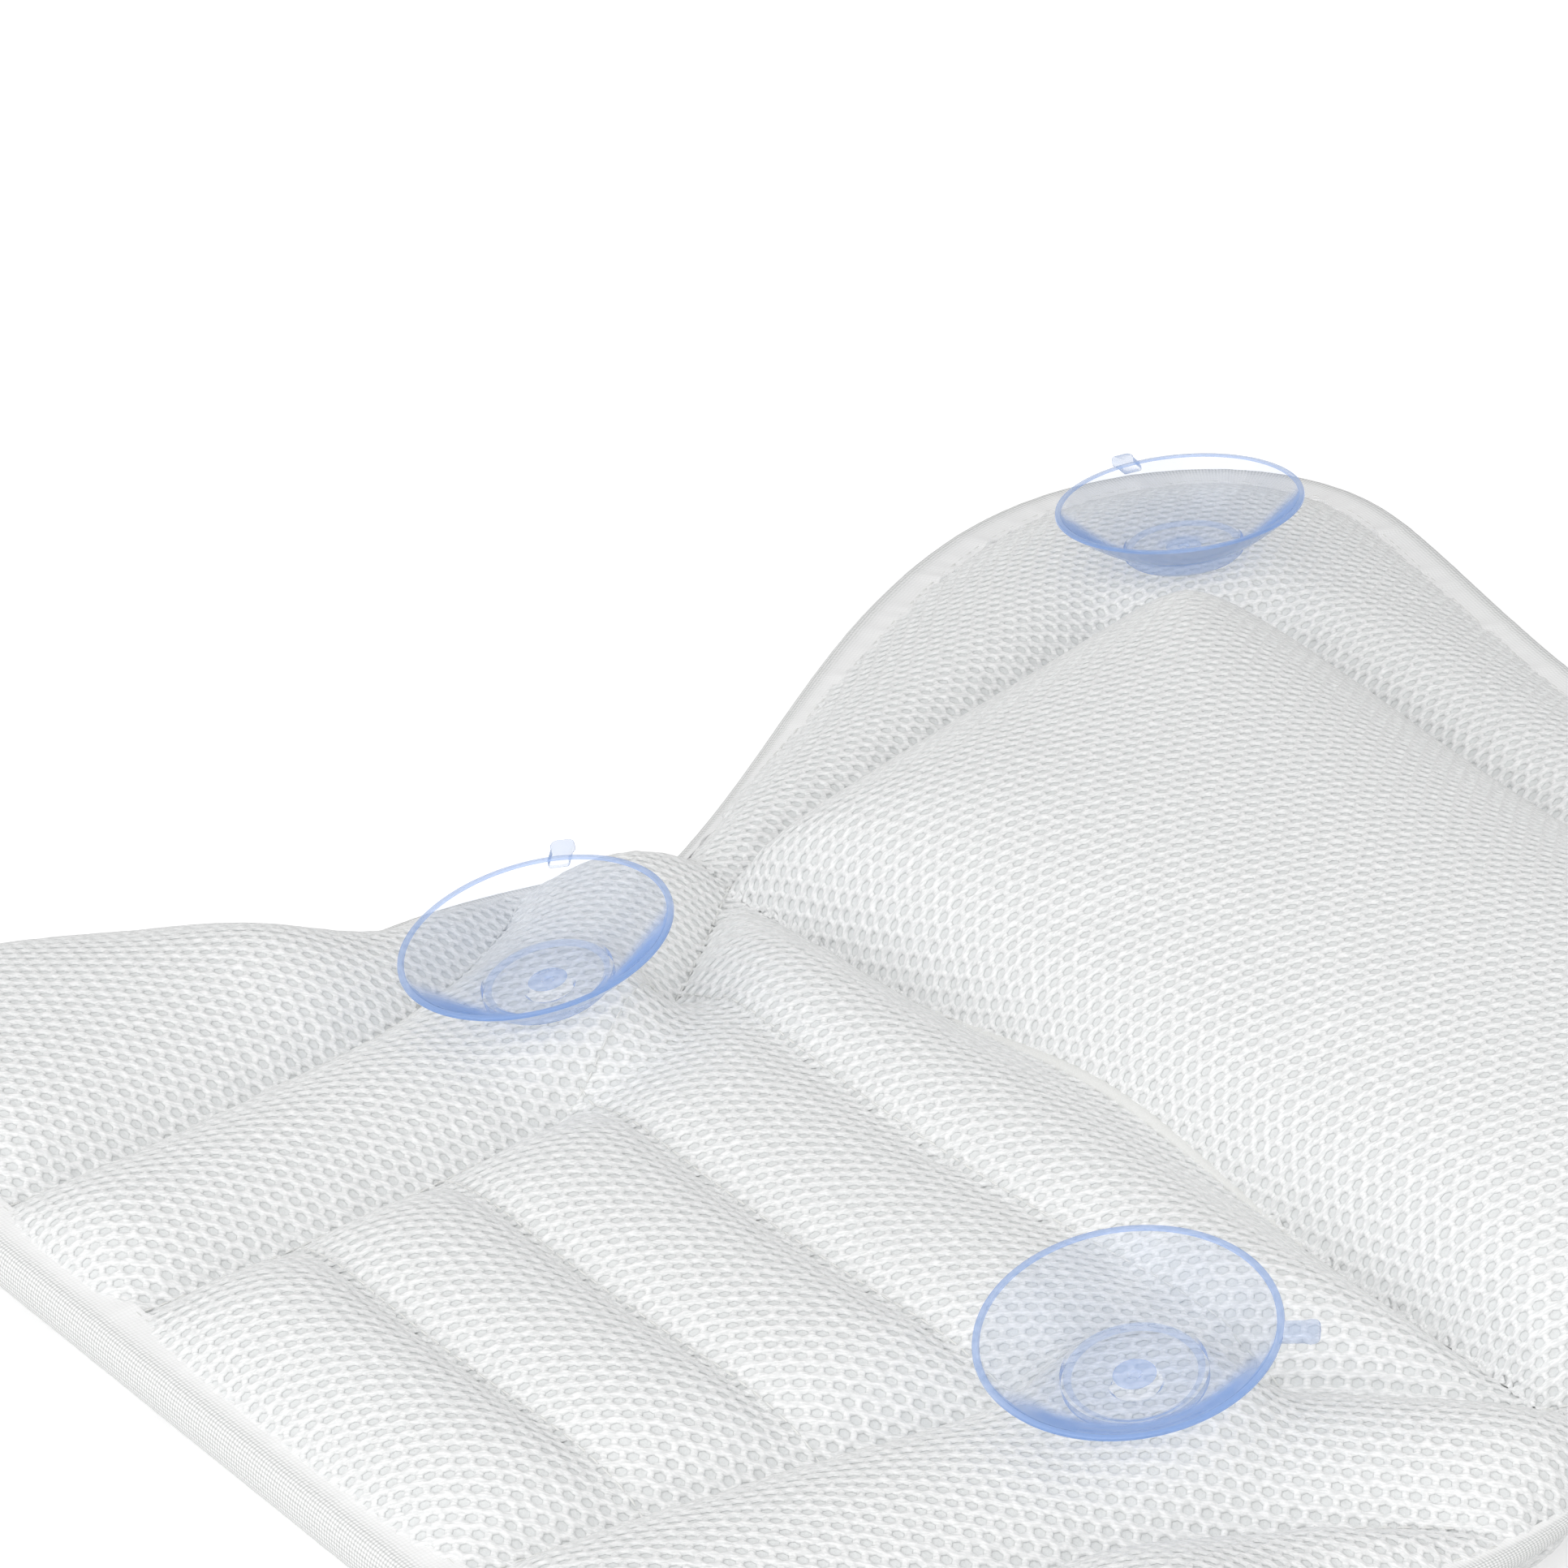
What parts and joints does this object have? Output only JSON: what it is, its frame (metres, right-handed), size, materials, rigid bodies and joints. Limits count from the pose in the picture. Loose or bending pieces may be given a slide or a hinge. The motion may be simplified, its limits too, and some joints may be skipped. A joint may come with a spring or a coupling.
{
  "type": "bath pillow",
  "caption": "Winged bath pillow of quilted white spacer mesh: a head panel and a shoulder panel that fold at the waist, with clear suction cups on the back.",
  "frame": {"origin": "centre of the bounding box on the plane that the pillow's front lies on", "axes": "+Z out of the pillow's back, where the suction cups are; +Y from the shoulder panel to the head panel; +X across the pillow, to its right as seen from the back with the head end up"},
  "size_m": [0.4206, 0.3736, 0.0548],
  "materials": {
    "spacer_mesh": "open knitted polyester spacer mesh, off-white, slightly shiny yarn",
    "binding_tape": "fine woven polyester tape, off-white, matt",
    "fibre_filling": "loose polyester fibre",
    "clear_vinyl": "clear soft vinyl with a light blue tint, glossy",
    "washer_plastic": "translucent moulded plastic"
  },
  "bodies": {
    "shoulder_panel": {"shoulder_back_mesh": "spacer_mesh", "shoulder_front_mesh": "spacer_mesh", "shoulder_binding": "binding_tape", "shoulder_channel_filling_1": "fibre_filling", "shoulder_channel_filling_2": "fibre_filling", "shoulder_channel_filling_3": "fibre_filling", "shoulder_channel_filling_4": "fibre_filling", "shoulder_channel_filling_5": "fibre_filling", "shoulder_band_filling_left": "fibre_filling", "shoulder_band_filling_right": "fibre_filling", "shoulder_wing_filling_left": "fibre_filling", "shoulder_wing_filling_right": "fibre_filling", "waist_cup_washer_left": "washer_plastic", "waist_cup_washer_right": "washer_plastic", "fold_seam": "binding_tape"},
    "head_panel": {"head_back_mesh": "spacer_mesh", "head_front_mesh": "spacer_mesh", "head_binding": "binding_tape", "head_pad_filling": "fibre_filling", "head_border_filling": "fibre_filling", "head_cup_washer_left": "washer_plastic", "head_cup_washer_right": "washer_plastic"},
    "head_cup_left": {"head_cup_left": "clear_vinyl"},
    "head_cup_right": {"head_cup_right": "clear_vinyl"},
    "waist_cup_left": {"waist_cup_left": "clear_vinyl"},
    "waist_cup_right": {"waist_cup_right": "clear_vinyl"}
  },
  "joints": [
    {"name": "panel_fold", "type": "hinge", "parent": "shoulder_panel", "child": "head_panel", "pos_m": [0, -0.0135, 0.02], "axis": [1, 0, 0], "range_deg": [-45, 45]},
    {"name": "head_cup_left_spin", "type": "hinge", "parent": "head_panel", "child": "head_cup_left", "pos_m": [-0.15403, 0.12948, 0.03393], "axis": [-0.0974, -0.0677, 0.9929], "continuous": true},
    {"name": "head_cup_right_spin", "type": "hinge", "parent": "head_panel", "child": "head_cup_right", "pos_m": [0.15403, 0.12948, 0.03393], "axis": [0.0974, -0.0677, 0.9929], "continuous": true},
    {"name": "waist_cup_left_spin", "type": "hinge", "parent": "shoulder_panel", "child": "waist_cup_left", "pos_m": [-0.08002, -0.07357, 0.0358], "axis": [-0.0594, -0.2279, 0.9719], "continuous": true},
    {"name": "waist_cup_right_spin", "type": "hinge", "parent": "shoulder_panel", "child": "waist_cup_right", "pos_m": [0.08002, -0.07357, 0.0358], "axis": [0.0594, -0.2279, 0.9719], "continuous": true}
  ]
}
